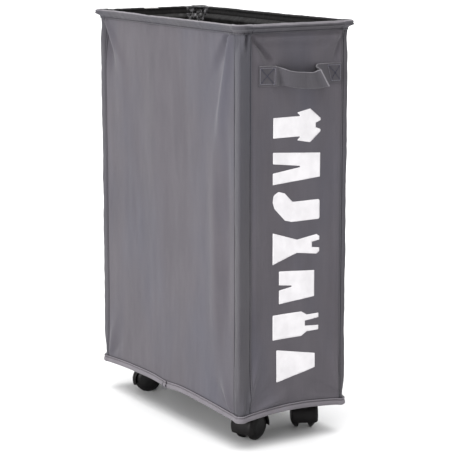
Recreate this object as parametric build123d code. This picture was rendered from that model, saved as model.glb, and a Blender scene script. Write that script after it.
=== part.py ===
from build123d import *
import os
from math import cos, radians, sin

# A slim laundry hamper on four twin-wheel casters. A cloth bag with a sewn-in wire round its mouth
# hangs on four steel corner poles, which stand on a rigid board with the casters screwed under it.
# Millimetres. The origin is on the floor under the middle of the hamper, +Z is up, and the narrow
# printed front with its handle faces -Y.

# ---- overall sizes -------------------------------------------------------------------------------
TOTAL_HEIGHT = 579.0
BODY_WIDTH = 172.0
BODY_LENGTH = 382.0
BODY_CORNER_RADIUS = 5.5
RIM_FLARE = 5.0

# ---- cloth ---------------------------------------------------------------------------------------
CLOTH = 1.0
LINING = 0.5
HEM_LOW = 566.0
SKIRT_LOW = 42.0
SKIRT_RISE = 6.0
BINDING_HEIGHT = 9.0
LAP_ENDS = (1.0, 9.0)
LAP_OUT = 1.9
FRONT_FIN_LEFT = 18.0
FRONT_FIN_RIGHT = 9.0
FIN = 14.0

# ---- frame ---------------------------------------------------------------------------------------
WIRE_RADIUS = 2.0
HEM_SKIN = 0.9
FERRULE_RADIUS = 2.5
FERRULE_LENGTH = 24.0
POLE_RADIUS = 4.0
POLE_WALL = 1.0
POLE_TOP = 560.0
BOARD_LOW = 54.0
BOARD_THICKNESS = 6.0
FOOT_SIDE = 14.0
FOOT_THICKNESS = 2.0
PEG_HEIGHT = 20.0

# ---- handles -------------------------------------------------------------------------------------
STRAP_WIDTH = 25.0
STRAP_THICKNESS = 1.6
HANDLE_Z = 509.5
FRONT_HANDLE_X = 10.0
HANDLE_HALF_CHORD = 40.5
HANDLE_HALF_LENGTH = 66.0
HANDLE_REACH = 19.2
LOOP_HALF = 30.0
LOOP_DROOP = 20.0
STRAP_BEND_RADIUS = 8.0

# ---- casters -------------------------------------------------------------------------------------
CASTER_X = 50.0
CASTER_Y = 148.0
WHEEL_RADIUS = 20.0
TRAIL = 12.0
PLATE_SIDE = 38.0
PLATE_THICKNESS = 2.0
PLATE_HOLE = 13.5
KINGPIN_RADIUS = 3.0
AXLE_RADIUS = 2.5
WEB_HALF = 5.5
CASTER_HEADINGS = {"front_left": 19.0, "front_right": 62.0, "rear_left": -35.0, "rear_right": 155.0}
KINGPIN_LOW = 27.0
KINGPIN_HEAD_RADIUS = 4.5
KINGPIN_HEAD_HEIGHT = 1.6
NECK_RADIUS = 8.0
CLIP_LOW = 31.0
CLIP_HIGH = 32.2
CLIP_RADIUS = 3.8
GROOVE_RADIUS = 2.4
HOOD_FRONT = 204.0
HOOD_REAR = -6.0

# ---- values worked out from those ----------------------------------------------------------------
HALF_X = BODY_WIDTH / 2
HALF_Y = BODY_LENGTH / 2
POLE_X = HALF_X - BODY_CORNER_RADIUS
POLE_Y = HALF_Y - BODY_CORNER_RADIUS
WIRE_OUT = RIM_FLARE - HEM_SKIN - WIRE_RADIUS
WIRE_Z = TOTAL_HEIGHT - HEM_SKIN - WIRE_RADIUS
BOARD_TOP = BOARD_LOW + BOARD_THICKNESS
BOARD_HALF_X = HALF_X - CLOTH - 0.4
BOARD_HALF_Y = HALF_Y - CLOTH - 0.4
PLATE_LOW = BOARD_LOW - PLATE_THICKNESS
CORNERS = {"front_left": (-1, -1), "front_right": (1, -1), "rear_left": (-1, 1), "rear_right": (1, 1)}


def prism(face, low, high):
    """A flat face in the XY plane, extruded from height low to height high."""
    return Pos(0, 0, low) * extrude(face, high - low)


def rod(radius, low, high, x=0.0, y=0.0):
    """An upright cylinder between two heights."""
    return Pos(x, y, (low + high) / 2) * Cylinder(radius, high - low)


def block(x0, x1, y0, y1, z0, z1):
    """A box between two corners."""
    return Pos((x0 + x1) / 2, (y0 + y1) / 2, (z0 + z1) / 2) * Box(x1 - x0, y1 - y0, z1 - z0)


def outline(grow):
    """The body's rounded rectangle, grown by a distance on every side."""
    return RectangleRounded(BODY_WIDTH + 2 * grow, BODY_LENGTH + 2 * grow, BODY_CORNER_RADIUS + grow)


def to_corner(shape, name):
    """A shape made in the corner where x and y are positive, mirrored into the named corner."""
    sign_x, sign_y = CORNERS[name]
    if sign_x < 0:
        shape = mirror(shape, about=Plane.YZ)
    if sign_y < 0:
        shape = mirror(shape, about=Plane.XZ)
    return shape


# ---- the cloth body ------------------------------------------------------------------------------
def under_arch(low):
    """What lies between height low and the shallow arches of all four lower edges."""
    long_edge = ThreePointArc((-POLE_Y, low), (0, low + SKIRT_RISE), (POLE_Y, low))
    short_edge = ThreePointArc((-POLE_X, low), (0, low + SKIRT_RISE), (POLE_X, low))
    long_face = make_face([long_edge, Line((POLE_Y, low), (-POLE_Y, low))])
    short_face = make_face([short_edge, Line((POLE_X, low), (-POLE_X, low))])
    along_x = extrude(Plane.YZ * long_face, HALF_X + 10, both=True)
    along_y = extrude(Plane.XZ * short_face, HALF_Y + 10, both=True)
    return along_x + along_y


def arched_ring(inner, outer, low, high=None):
    """A ring of the body's outline between two offsets, with arched lower and upper edges."""
    top = HEM_LOW if high is None else high + SKIRT_RISE
    ring = prism(outline(outer) - outline(inner), low, top) - under_arch(low)
    if high is None:
        return ring
    side_x = HALF_X + inner - 1.0
    side_y = HALF_Y + inner - 1.0
    keep = prism(outline(outer + 1), low, high) + (
        under_arch(high) - block(-side_x, side_x, -side_y, side_y, low, top + 1)
    )
    return ring & keep


def cloth_shell():
    """All four walls as one skin, which the panels and corner sleeves are cut from."""
    return arched_ring(-CLOTH, 0.0, SKIRT_LOW + CLOTH)


def panels(shell):
    """The four wall panels between the corner sleeves."""
    tall = (SKIRT_LOW, HEM_LOW)
    edge_y = HALF_Y - FIN
    edge_x = HALF_X - FIN
    deep = HALF_Y - 2 * CLOTH
    wide = HALF_X - 2 * CLOTH
    return {
        "front_panel": shell & block(FRONT_FIN_LEFT - HALF_X, HALF_X - FRONT_FIN_RIGHT, -HALF_Y - 1, -deep, *tall),
        "rear_panel": shell & block(-edge_x, edge_x, deep, HALF_Y + 1, *tall),
        "left_panel": shell & block(-HALF_X - 1, -wide, -edge_y, edge_y, *tall),
        "right_panel": shell & block(wide, HALF_X + 1, -edge_y, edge_y, *tall),
    }


def corner_sleeve(shell, name):
    """A strip folded round one corner, sewn along both edges, with a tunnel for the pole inside it."""
    sleeve_low = BOARD_TOP + FOOT_THICKNESS + 4.0
    end_fin = {"front_left": FRONT_FIN_LEFT, "front_right": FRONT_FIN_RIGHT}.get(name, FIN)
    sign_x, sign_y = CORNERS[name]
    xs = sorted((sign_x * (HALF_X - end_fin), sign_x * (HALF_X + 1)))
    ys = sorted((sign_y * (HALF_Y - FIN), sign_y * (HALF_Y + 1)))
    strip = shell & block(*xs, *ys, SKIRT_LOW, HEM_LOW)
    x, y = sign_x * POLE_X, sign_y * POLE_Y
    tunnel = rod(BODY_CORNER_RADIUS, sleeve_low, HEM_LOW, x, y)
    bore = rod(POLE_RADIUS + 0.3, sleeve_low - 1, HEM_LOW - 1.5, x, y)
    return strip + tunnel - bore


def bottom_binding():
    """A folded tape over the lower edge of all four walls, with the lapped join of its two ends."""
    low = SKIRT_LOW
    tape = arched_ring(0.02, CLOTH, low, low + BINDING_HEIGHT)
    fold = arched_ring(-CLOTH, CLOTH, low, low + CLOTH - 0.02)
    lap_low = low + SKIRT_RISE + 0.2
    lap = block(-HALF_X - LAP_OUT, -HALF_X - CLOTH + 0.05, *LAP_ENDS, lap_low, lap_low + BINDING_HEIGHT - 0.6)
    return tape + fold + lap


def rim_path():
    """The centre line of the wire in the mouth's hem."""
    loop = RectangleRounded(
        BODY_WIDTH + 2 * WIRE_OUT, BODY_LENGTH + 2 * WIRE_OUT, BODY_CORNER_RADIUS + WIRE_OUT
    )
    return Pos(0, 0, WIRE_Z) * loop.outer_wire()


def along_rim(make_section):
    """Sweeps a section round the mouth. The section's x points outwards and its y upwards."""
    half_x = HALF_X + WIRE_OUT
    half_y = HALF_Y + WIRE_OUT
    radius = BODY_CORNER_RADIUS + WIRE_OUT
    section = make_section()
    side = Plane(origin=(half_x, 0, WIRE_Z), x_dir=(1, 0, 0), z_dir=(0, -1, 0)) * section
    end = Plane(origin=(0, half_y, WIRE_Z), x_dir=(0, 1, 0), z_dir=(1, 0, 0)) * section
    long_run = extrude(side, half_y - radius, both=True)
    short_run = extrude(end, half_x - radius, both=True)
    at_corner = Plane(origin=(half_x, half_y - radius, WIRE_Z), x_dir=(1, 0, 0), z_dir=(0, -1, 0)) * section
    bend = revolve(at_corner, Axis((half_x - radius, half_y - radius, WIRE_Z), (0, 0, 1)), 90)
    ring = long_run + mirror(long_run, about=Plane.YZ) + short_run + mirror(short_run, about=Plane.XZ)
    for name in CORNERS:
        ring += to_corner(bend, name)
    return ring


def ferrule_at(radius, length):
    """A cylinder on the wire at the middle of the rear side."""
    return Pos(0, HALF_Y + WIRE_OUT, WIRE_Z) * Rot(0, 90, 0) * Cylinder(radius, length)


def top_hem():
    """The cloth folded over the wire and sewn down below it, flaring out from the walls."""
    drop = HEM_LOW - WIRE_Z
    curve = WIRE_RADIUS + HEM_SKIN

    def section():
        skirt = make_face(
            Polyline(
                (-WIRE_OUT - 1.4, drop),
                (-WIRE_OUT + 0.6, drop),
                (curve * cos(radians(-25)), curve * sin(radians(-25))),
                (-curve, 0),
                (-WIRE_OUT - 1.4, drop),
            )
        )
        return skirt + Circle(curve)

    tunnel = along_rim(lambda: Circle(WIRE_RADIUS + 0.1))
    return along_rim(section) - tunnel - ferrule_at(FERRULE_RADIUS + 0.1, FERRULE_LENGTH + 0.4)


def rim_wire():
    """A round steel wire bent to a rounded rectangle, its two ends meeting in the ferrule."""
    gap = block(-0.25, 0.25, HALF_Y - 5, HALF_Y + 10, WIRE_Z - 5, WIRE_Z + 5)
    return along_rim(lambda: Circle(WIRE_RADIUS)) - gap


def rim_wire_ferrule():
    return ferrule_at(FERRULE_RADIUS, FERRULE_LENGTH) - ferrule_at(WIRE_RADIUS + 0.02, FERRULE_LENGTH + 1)


def fabric_floor():
    """The bag's cloth floor, on the board, notched round the pole feet."""
    notch = FOOT_SIDE + 1.0
    floor = prism(RectangleRounded(2 * BOARD_HALF_X, 2 * BOARD_HALF_Y, 4.0), BOARD_TOP + 0.1, BOARD_TOP + 1.1)
    for name, (sign_x, sign_y) in CORNERS.items():
        xs = sorted((sign_x * (BOARD_HALF_X - notch), sign_x * HALF_X))
        ys = sorted((sign_y * (BOARD_HALF_Y - notch), sign_y * HALF_Y))
        floor -= block(*xs, *ys, BOARD_TOP - 1, BOARD_TOP + 3)
    return floor


def inner_lining():
    """A thin dark bag inside the walls, its corners cut across the pole sleeves."""
    low = BOARD_TOP + FOOT_THICKNESS + 2.3
    corner_cut = 16.8

    def bag(grow, floor, top):
        half_x = HALF_X - CLOTH - 0.3 + grow
        half_y = HALF_Y - CLOTH - 0.3 + grow
        cut = corner_cut + 0.6 * grow
        points = [
            (half_x, half_y - cut),
            (half_x - cut, half_y),
            (cut - half_x, half_y),
            (-half_x, half_y - cut),
            (-half_x, cut - half_y),
            (cut - half_x, -half_y),
            (half_x - cut, -half_y),
            (half_x, cut - half_y),
        ]
        return prism(make_face(Polyline(*points, close=True)), floor, top)

    return bag(0.0, low, HEM_LOW - 0.2) - bag(-LINING, low + LINING, HEM_LOW + 1)


# ---- the printed motif ---------------------------------------------------------------------------
# Seven plain garment shapes stand in a column, tops towards +X. Each is drawn upright, x across the
# garment and y up it, as a share of its width and height.
PRINT_X = 5.0
PRINT_TOP = 463.0
PRINT_LOW = 90.0
PRINT_HEIGHT = 76.0
PRINT_GAP = 9.0
PRINT_THICKNESS = 0.3
TEE = [(0.2, 0), (0.2, 0.58), (0.09, 0.5), (0, 0.78), (0.3, 1), (0.37, 1), (0.43, 0.9),
       (0.57, 0.9), (0.63, 1), (0.7, 1), (1, 0.78), (0.91, 0.5), (0.8, 0.58), (0.8, 0)]
TROUSERS = [(0.02, 0), (0.14, 1), (0.86, 1), (0.98, 0), (0.64, 0), (0.5, 0.66), (0.36, 0)]
SOCK = [(0.34, 1), (0.94, 1), (0.94, 0.4), (0.88, 0.26), (0.5, 0.04), (0.3, 0), (0.1, 0.02),
        (0, 0.12), (0.06, 0.25), (0.34, 0.42)]
DRESS = [(0.02, 0), (0.3, 0.52), (0.2, 0.94), (0.27, 1), (0.38, 1), (0.42, 0.84), (0.58, 0.84),
         (0.62, 1), (0.73, 1), (0.8, 0.94), (0.7, 0.52), (0.98, 0)]
VEST = [(0.12, 0), (0.12, 0.62), (0.24, 0.74), (0.24, 1), (0.38, 1), (0.42, 0.7), (0.58, 0.7),
        (0.62, 1), (0.76, 1), (0.76, 0.74), (0.88, 0.62), (0.88, 0)]
SHORTS = [(0, 0.14), (0.1, 0.9), (0.9, 0.9), (1, 0.14), (0.58, 0.14), (0.5, 0.5), (0.42, 0.14)]
SKIRT = [(0, 0.08), (0.28, 0.92), (0.72, 0.92), (1, 0.08)]
# Each garment goes with the radius of its corners in millimetres.
MOTIFS = [(TEE, 0.8), (TROUSERS, 1.0), (SOCK, 3.0), (DRESS, 0.8), (SHORTS, 1.0), (VEST, 0.8), (SKIRT, 1.2)]


def front_print():
    """The ink of the motif, a thin layer just off the front panel."""
    pitch = (PRINT_TOP - PRINT_LOW + PRINT_GAP) / len(MOTIFS)
    width = pitch - PRINT_GAP
    surface = Plane.XZ.offset(HALF_Y + 0.05)
    ink = []
    for place, (shape, corner_radius) in enumerate(MOTIFS):
        top = PRINT_TOP - place * pitch
        left = PRINT_X - PRINT_HEIGHT / 2
        points = [(left + up * PRINT_HEIGHT, top - across * width) for across, up in shape]
        outline_edges = FilletPolyline(*points, radius=corner_radius, close=True)
        ink.append(extrude(surface * make_face(outline_edges), PRINT_THICKNESS))
    return Compound(children=ink)


# ---- handles -------------------------------------------------------------------------------------
def strap_band():
    """The whole strap as it stands off the front panel, centred on x = 0 and z = 0."""
    flat = STRAP_THICKNESS / 2
    bend = HANDLE_HALF_CHORD - HANDLE_REACH + flat
    line = FilletPolyline(
        (-HANDLE_HALF_LENGTH, -flat),
        (-HANDLE_HALF_CHORD, -flat),
        (-bend, -HANDLE_REACH),
        (bend, -HANDLE_REACH),
        (HANDLE_HALF_CHORD, -flat),
        (HANDLE_HALF_LENGTH, -flat),
        radius=STRAP_BEND_RADIUS,
    )
    return extrude(trace(line, STRAP_THICKNESS), STRAP_WIDTH / 2, both=True)


def front_handle():
    """The two sewn ends with the parts that rise from them, and the loop between, which droops."""
    band = strap_band()
    middle = block(-LOOP_HALF, LOOP_HALF, -2 * HANDLE_REACH, HANDLE_REACH, -STRAP_WIDTH, STRAP_WIDTH)
    place = Pos(FRONT_HANDLE_X, -HALF_Y - 0.05, HANDLE_Z)
    pivot = Axis((0, -STRAP_THICKNESS / 2, 0), (1, 0, 0))
    loop = (band & middle).rotate(pivot, LOOP_DROOP)
    return place * (band - middle), place * loop


# ---- frame ---------------------------------------------------------------------------------------
def corner_pole():
    """A steel tube that stands on a foot's peg, up inside a sleeve."""
    low = BOARD_TOP + FOOT_THICKNESS
    tube = rod(POLE_RADIUS, low, POLE_TOP) - rod(POLE_RADIUS - POLE_WALL, low - 1, POLE_TOP + 1)
    return Pos(POLE_X, POLE_Y, 0) * tube


def pole_top_cap():
    """A round-headed plug in the top of a pole."""
    head = fillet(rod(POLE_RADIUS + 0.1, POLE_TOP, POLE_TOP + 4).edges().group_by(Axis.Z)[-1], 2.5)
    plug = rod(POLE_RADIUS - POLE_WALL - 0.05, POLE_TOP - 12, POLE_TOP)
    return Pos(POLE_X, POLE_Y, 0) * (head + plug)


def pole_foot():
    """A square flange on the board's corner, with the peg that the tube slides over."""
    centre_x = BOARD_HALF_X - FOOT_SIDE / 2 - 0.1
    centre_y = BOARD_HALF_Y - FOOT_SIDE / 2 - 0.1
    flange = prism(RectangleRounded(FOOT_SIDE, FOOT_SIDE, 3.5), BOARD_TOP, BOARD_TOP + FOOT_THICKNESS)
    peg = rod(POLE_RADIUS - POLE_WALL - 0.1, BOARD_TOP, BOARD_TOP + FOOT_THICKNESS + PEG_HEIGHT, POLE_X, POLE_Y)
    peg = chamfer(peg.edges().group_by(Axis.Z)[-1], 0.8)
    return Pos(centre_x, centre_y, 0) * flange + peg - foot_screw(0.1)


FOOT_SCREW_X = BOARD_HALF_X - FOOT_SIDE + 3.2
FOOT_SCREW_Y = BOARD_HALF_Y - FOOT_SIDE + 3.2


def foot_screw(room=0.0):
    """A small countersunk screw down through a foot. room makes its hole instead of the screw."""
    top = BOARD_TOP + FOOT_THICKNESS
    head = Pos(0, 0, top - 0.8 + room / 2) * Cone(1.4 + room, 2.8 + room, 1.6 + room)
    shank = rod(1.4 + room, BOARD_TOP - 4.5 - room, top - 1)
    screw = head + shank
    if not room:
        screw -= Pos(0, 0, top) * (Box(3.2, 0.6, 1.2) + Box(0.6, 3.2, 1.2))
    return Pos(FOOT_SCREW_X, FOOT_SCREW_Y, 0) * screw


def caster_screw(room=0.0):
    """A pan-head screw up through a caster plate. room makes its hole in the board instead."""
    shank = rod(1.9 + room, PLATE_LOW - 0.5, BOARD_TOP - 1.0 + room)
    if room:
        return shank
    head = fillet(rod(3.4, PLATE_LOW - 2.0, PLATE_LOW).edges().group_by(Axis.Z)[0], 1.0)
    slots = Pos(0, 0, PLATE_LOW - 2.0) * (Box(3.6, 0.8, 1.8) + Box(0.8, 3.6, 1.8))
    return head + shank - slots


def plate_screw_places(name):
    """Where one caster's four screws stand."""
    sign_x, sign_y = CORNERS[name]
    return [
        Pos(sign_x * CASTER_X + dx * PLATE_HOLE, sign_y * CASTER_Y + dy * PLATE_HOLE, 0)
        for dx in (-1, 1)
        for dy in (-1, 1)
    ]


def base_board():
    """The rigid board that everything stands on, drilled for its screws and the kingpins' heads."""
    board = prism(RectangleRounded(2 * BOARD_HALF_X, 2 * BOARD_HALF_Y, 4.5), BOARD_LOW, BOARD_TOP)
    for name in CORNERS:
        board -= to_corner(foot_screw(0.05), name)
        pocket = rod(KINGPIN_HEAD_RADIUS + 1, BOARD_LOW - 1, BOARD_LOW + KINGPIN_HEAD_HEIGHT + 0.9)
        board -= to_corner(Pos(CASTER_X, CASTER_Y, 0) * pocket, name)
        for place in plate_screw_places(name):
            board -= place * caster_screw(0.05)
    return board


# ---- casters, made with the wheels trailing towards +X and moved into place ------------------------
def at_caster(shape, name, turned=True):
    sign_x, sign_y = CORNERS[name]
    heading = CASTER_HEADINGS[name] if turned else 0.0
    return Pos(sign_x * CASTER_X, sign_y * CASTER_Y, 0) * Rot(0, 0, heading) * shape


def caster_plate():
    plate = prism(RectangleRounded(PLATE_SIDE, PLATE_SIDE, 5.0), PLATE_LOW, BOARD_LOW)
    plate -= rod(KINGPIN_RADIUS + 0.02, PLATE_LOW - 1, BOARD_LOW + 1)
    for dx in (-PLATE_HOLE, PLATE_HOLE):
        for dy in (-PLATE_HOLE, PLATE_HOLE):
            plate -= rod(2.2, PLATE_LOW - 1, BOARD_LOW + 1, dx, dy)
    return plate


def kingpin():
    """The steel pin riveted in the plate, on which the hood swivels, grooved for its clip."""
    shank = rod(KINGPIN_RADIUS, KINGPIN_LOW, BOARD_LOW + 0.1)
    head = rod(KINGPIN_HEAD_RADIUS, BOARD_LOW, BOARD_LOW + KINGPIN_HEAD_HEIGHT)
    groove = rod(KINGPIN_RADIUS + 1, CLIP_LOW, CLIP_HIGH) - rod(GROOVE_RADIUS, CLIP_LOW, CLIP_HIGH)
    return shank + head - groove


def kingpin_clip():
    """A spring clip in the pin's groove, which keeps the hood on."""
    ring = rod(CLIP_RADIUS, CLIP_LOW + 0.1, CLIP_HIGH - 0.1) - rod(GROOVE_RADIUS + 0.1, CLIP_LOW, CLIP_HIGH)
    return ring - block(0, 5, -1.2, 1.2, CLIP_LOW - 1, CLIP_HIGH + 1)


def swivel_washer():
    disc = rod(NECK_RADIUS - 0.2, PLATE_LOW - 0.9, PLATE_LOW)
    return disc - rod(KINGPIN_RADIUS + 0.1, PLATE_LOW - 2, PLATE_LOW + 1)


# Hood and wheel sections are drawn with x along the axle, from the middle outwards, and y as radius.
AXLE_PLACE = Pos(TRAIL, 0, WHEEL_RADIUS)


def turned_on_axle(face, start=0.0, sweep=360.0):
    """A section drawn in x (axle) and y (radius), turned round the axle from angle start, +X to +Z."""
    stood = Plane(origin=(0, 0, 0), x_dir=(0, 1, 0), z_dir=(0, 0, -1)) * face
    solid = revolve(stood, Axis((0, 0, 0), (0, -1, 0)), sweep)
    return AXLE_PLACE * Rot(0, -start, 0) * solid


def caster_hood():
    """The domed hood over both wheels, with the web between them that holds the pin and axle."""
    outer = [
        Line((-13.5, 22.8), (13.5, 22.8)),
        ThreePointArc((13.5, 22.8), (17.7, 21.1), (19.4, 17.8)),
        Line((19.4, 17.8), (18.2, 17.2)),
        ThreePointArc((18.2, 17.2), (16.7, 19.9), (13.2, 21.2)),
        Line((13.2, 21.2), (-13.2, 21.2)),
        ThreePointArc((-13.2, 21.2), (-16.7, 19.9), (-18.2, 17.2)),
        Line((-18.2, 17.2), (-19.4, 17.8)),
        ThreePointArc((-19.4, 17.8), (-17.7, 21.1), (-13.5, 22.8)),
    ]
    dome = turned_on_axle(make_face(outer), HOOD_REAR, HOOD_FRONT - HOOD_REAR)
    web = AXLE_PLACE * Rot(90, 0, 0) * Cylinder(15.0, 2 * WEB_HALF)
    upper = AXLE_PLACE * Rot(90, 0, 0) * Cylinder(21.6, 2 * WEB_HALF)
    web += upper & block(-40, 60, -20, 20, WHEEL_RADIUS - 2.0, 60)
    neck = rod(NECK_RADIUS, KINGPIN_LOW + 1, PLATE_LOW - 1.1)
    wheels = AXLE_PLACE * Rot(90, 0, 0) * Cylinder(21.4, 60)
    side_room = wheels - block(-40, 60, -WEB_HALF, WEB_HALF, -5, 80)
    hood = dome + web + (neck - side_room)
    hood -= rod(KINGPIN_RADIUS + 0.06, KINGPIN_LOW - 1, PLATE_LOW)
    hood -= rod(CLIP_RADIUS + 0.4, CLIP_LOW - 0.4, CLIP_HIGH + 0.4)
    return hood - AXLE_PLACE * Rot(90, 0, 0) * Cylinder(AXLE_RADIUS + 0.02, 40)


def caster_axle():
    return AXLE_PLACE * Rot(90, 0, 0) * chamfer(Cylinder(AXLE_RADIUS, 31.0).edges().filter_by(GeomType.CIRCLE), 0.5)


def caster_wheel():
    """The wheel on the +Y side: a narrow tread, a bevel inside it, a domed face and a blind hub."""
    inner = WEB_HALF + 0.7
    face = 18.9
    bore = AXLE_RADIUS + 0.06
    section = [
        Line((inner, bore), (inner, 6.0)),
        Line((inner, 6.0), (11.0, 6.6)),
        Line((11.0, 6.6), (11.0, 15.6)),
        Line((11.0, 15.6), (inner + 0.4, 15.6)),
        Line((inner + 0.4, 15.6), (inner + 0.4, 16.4)),
        Line((inner + 0.4, 16.4), (inner + 2.6, WHEEL_RADIUS)),
        Line((inner + 2.6, WHEEL_RADIUS), (11.4, WHEEL_RADIUS)),
        ThreePointArc((11.4, WHEEL_RADIUS), (16.4, 15.0), (18.4, 8.0)),
        Line((18.4, 8.0), (face, 3.0)),
        Line((face, 3.0), (face, 0.0)),
        Line((face, 0.0), (16.2, 0.0)),
        Line((16.2, 0.0), (16.2, bore)),
        Line((16.2, bore), (inner, bore)),
    ]
    return turned_on_axle(make_face(section))


def caster_nodes(name):
    """Every piece of one caster that has a node of its own."""
    wheel = caster_wheel()
    return {
        f"caster_plate_{name}": at_caster(caster_plate(), name, turned=False),
        f"caster_hood_{name}": at_caster(caster_hood(), name),
        f"caster_axle_{name}": at_caster(caster_axle(), name),
        f"caster_wheel_{name}_a": at_caster(wheel, name),
        f"caster_wheel_{name}_b": at_caster(mirror(wheel, about=Plane.XZ), name),
    }


def all_corners(shape):
    return Compound(children=[to_corner(shape, name) for name in CORNERS])


def all_casters(shape):
    return Compound(children=[at_caster(shape, name, turned=False) for name in CORNERS])


def build():
    shell = cloth_shell()
    ends, loop = front_handle()
    turn = Rot(0, 0, 180)
    nodes = panels(shell)
    nodes["top_hem"] = top_hem()
    nodes["bottom_binding"] = bottom_binding()
    nodes["fabric_floor"] = fabric_floor()
    nodes["inner_lining"] = inner_lining()
    nodes["front_print"] = front_print()
    nodes["front_handle_ends"] = ends
    nodes["front_handle_loop"] = loop
    nodes["rear_handle_ends"] = turn * ends
    nodes["rear_handle_loop"] = turn * loop
    nodes["rim_wire"] = rim_wire()
    nodes["rim_wire_ferrule"] = rim_wire_ferrule()
    nodes["base_board"] = base_board()
    nodes["pole_top_caps"] = all_corners(pole_top_cap())
    nodes["pole_feet"] = all_corners(pole_foot())
    nodes["pole_foot_screws"] = all_corners(foot_screw())
    nodes["caster_kingpins"] = all_casters(kingpin())
    nodes["kingpin_clips"] = all_casters(kingpin_clip())
    nodes["swivel_washers"] = all_casters(swivel_washer())
    nodes["caster_screws"] = Compound(
        children=[place * caster_screw() for name in CORNERS for place in plate_screw_places(name)]
    )
    for name in CORNERS:
        nodes[f"corner_sleeve_{name}"] = corner_sleeve(shell, name)
        nodes[f"corner_pole_{name}"] = to_corner(corner_pole(), name)
        nodes.update(caster_nodes(name))
    return nodes


os.makedirs("parts", exist_ok=True)
for node, shape in build().items():
    export_step(shape, f"parts/{node}.step")
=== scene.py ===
"""The looks of a slim rolling laundry hamper: grey Oxford cloth hung on a wired rim and four pole
sleeves, with a printed front, a webbing handle at each end, a bound skirt and twin-wheel casters.

Lengths are in metres. -Y is the printed front, -X the long side towards the camera, +Z up. The cloth is
one surface, wall_shape(), that every sewn piece is cut from, so neighbouring pieces always meet."""

import math

import bmesh
import bpy
import numpy as np
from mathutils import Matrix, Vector


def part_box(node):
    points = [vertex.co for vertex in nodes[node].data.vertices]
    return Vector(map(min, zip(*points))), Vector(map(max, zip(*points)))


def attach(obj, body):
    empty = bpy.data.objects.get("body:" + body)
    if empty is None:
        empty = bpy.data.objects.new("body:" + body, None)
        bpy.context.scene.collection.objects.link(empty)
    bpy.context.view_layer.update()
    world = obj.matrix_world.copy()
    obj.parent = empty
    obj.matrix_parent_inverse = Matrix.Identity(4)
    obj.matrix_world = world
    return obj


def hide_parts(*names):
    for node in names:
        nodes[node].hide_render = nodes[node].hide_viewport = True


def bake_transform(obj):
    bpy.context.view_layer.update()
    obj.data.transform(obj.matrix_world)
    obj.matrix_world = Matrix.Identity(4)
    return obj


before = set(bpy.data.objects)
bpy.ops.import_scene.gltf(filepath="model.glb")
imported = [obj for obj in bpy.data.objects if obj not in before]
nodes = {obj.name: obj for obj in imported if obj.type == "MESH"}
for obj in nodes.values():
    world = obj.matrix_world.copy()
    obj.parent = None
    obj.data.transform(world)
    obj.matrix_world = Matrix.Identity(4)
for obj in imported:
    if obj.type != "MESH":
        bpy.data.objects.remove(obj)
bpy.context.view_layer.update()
MM = 0.001

# ---- sizes read from the frame -------------------------------------------------------------------
def extent(node, axis):
    """Lowest and highest place of a CAD node along that axis."""
    return tuple(getattr(corner, axis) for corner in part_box(node))


HALF_X = extent("right_panel", "x")[1]
HALF_Y = extent("rear_panel", "y")[1]
HEM_LOW, RIM_TOP = extent("top_hem", "z")
RIM_OUT = extent("top_hem", "x")[1] - HALF_X
SKIRT_LOW, BINDING_TOP = extent("bottom_binding", "z")
SIDE_AXIS = {"front": "x", "right": "y", "rear": "x", "left": "y"}
PANEL_HALF = {side: extent(f"{side}_panel", axis) for side, axis in SIDE_AXIS.items()}
SKIRT_RISE = 6 * MM
BINDING_HEIGHT = BINDING_TOP - SKIRT_LOW - SKIRT_RISE
CORNER_RADIUS = 5.5 * MM
CLOTH = 0.9 * MM
WALL_TALL = 0.52  # about what stands between the skirt's edge and the hem, to space the rows
HILLS = 61  # random heights each way before ripple() repeats


def smooth(low, high, value):
    """0 below low, 1 above high, and an S-curve between."""
    t = np.clip((value - low) / (high - low), 0.0, 1.0)
    return t * t * (3.0 - 2.0 * t)


def bump(value, centre, width):
    return np.exp(-(((value - centre) / width) ** 2))


def ripple(h, z, size_h, size_z, seed):
    """Smooth random hills of about that size along and up the cloth, from -1 to 1."""
    heights = np.random.RandomState(seed).uniform(-1.0, 1.0, (HILLS, HILLS))
    a = np.asarray(h) / size_h + 23.37
    b = np.asarray(z) / size_z + 17.71
    i, j = np.floor(a).astype(int), np.floor(b).astype(int)
    fa, fb = a - i, b - j
    fa = fa * fa * (3 - 2 * fa)
    fb = fb * fb * (3 - 2 * fb)
    i0, i1, j0, j1 = i % HILLS, (i + 1) % HILLS, j % HILLS, (j + 1) % HILLS
    low = heights[i0, j0] * (1 - fa) + heights[i1, j0] * fa
    high = heights[i0, j1] * (1 - fa) + heights[i1, j1] * fa
    return low * (1 - fb) + high * fb


# ---- the way round the hamper --------------------------------------------------------------------
# u runs anticlockwise as seen from above, from the middle of the front. Each straight side and each
# rounded corner takes its own stretch of u.
FLAT_X = 2 * (HALF_X - CORNER_RADIUS)
FLAT_Y = 2 * (HALF_Y - CORNER_RADIUS)
ARC = CORNER_RADIUS * math.pi / 2
SIDES = list(SIDE_AXIS)
SIDE_LENGTH = {"front": FLAT_X, "right": FLAT_Y, "rear": FLAT_X, "left": FLAT_Y}
# The heading in which u runs along each side, and the way that side faces.
ALONG = {"front": (1, 0), "right": (0, 1), "rear": (-1, 0), "left": (0, -1)}
FACING = {"front": (0, -1), "right": (1, 0), "rear": (0, 1), "left": (-1, 0)}
SIDE_MIDDLE = {}
ROUND = 0.0
for _side, _following in zip(SIDES, SIDES[1:] + SIDES[:1]):
    SIDE_MIDDLE[_side] = ROUND
    ROUND += SIDE_LENGTH[_side] / 2 + ARC + SIDE_LENGTH[_following] / 2


def past(start, u):
    """How far u lies past start, from minus to plus half of the way round."""
    return np.mod(u - start + ROUND / 2, ROUND) - ROUND / 2


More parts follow.
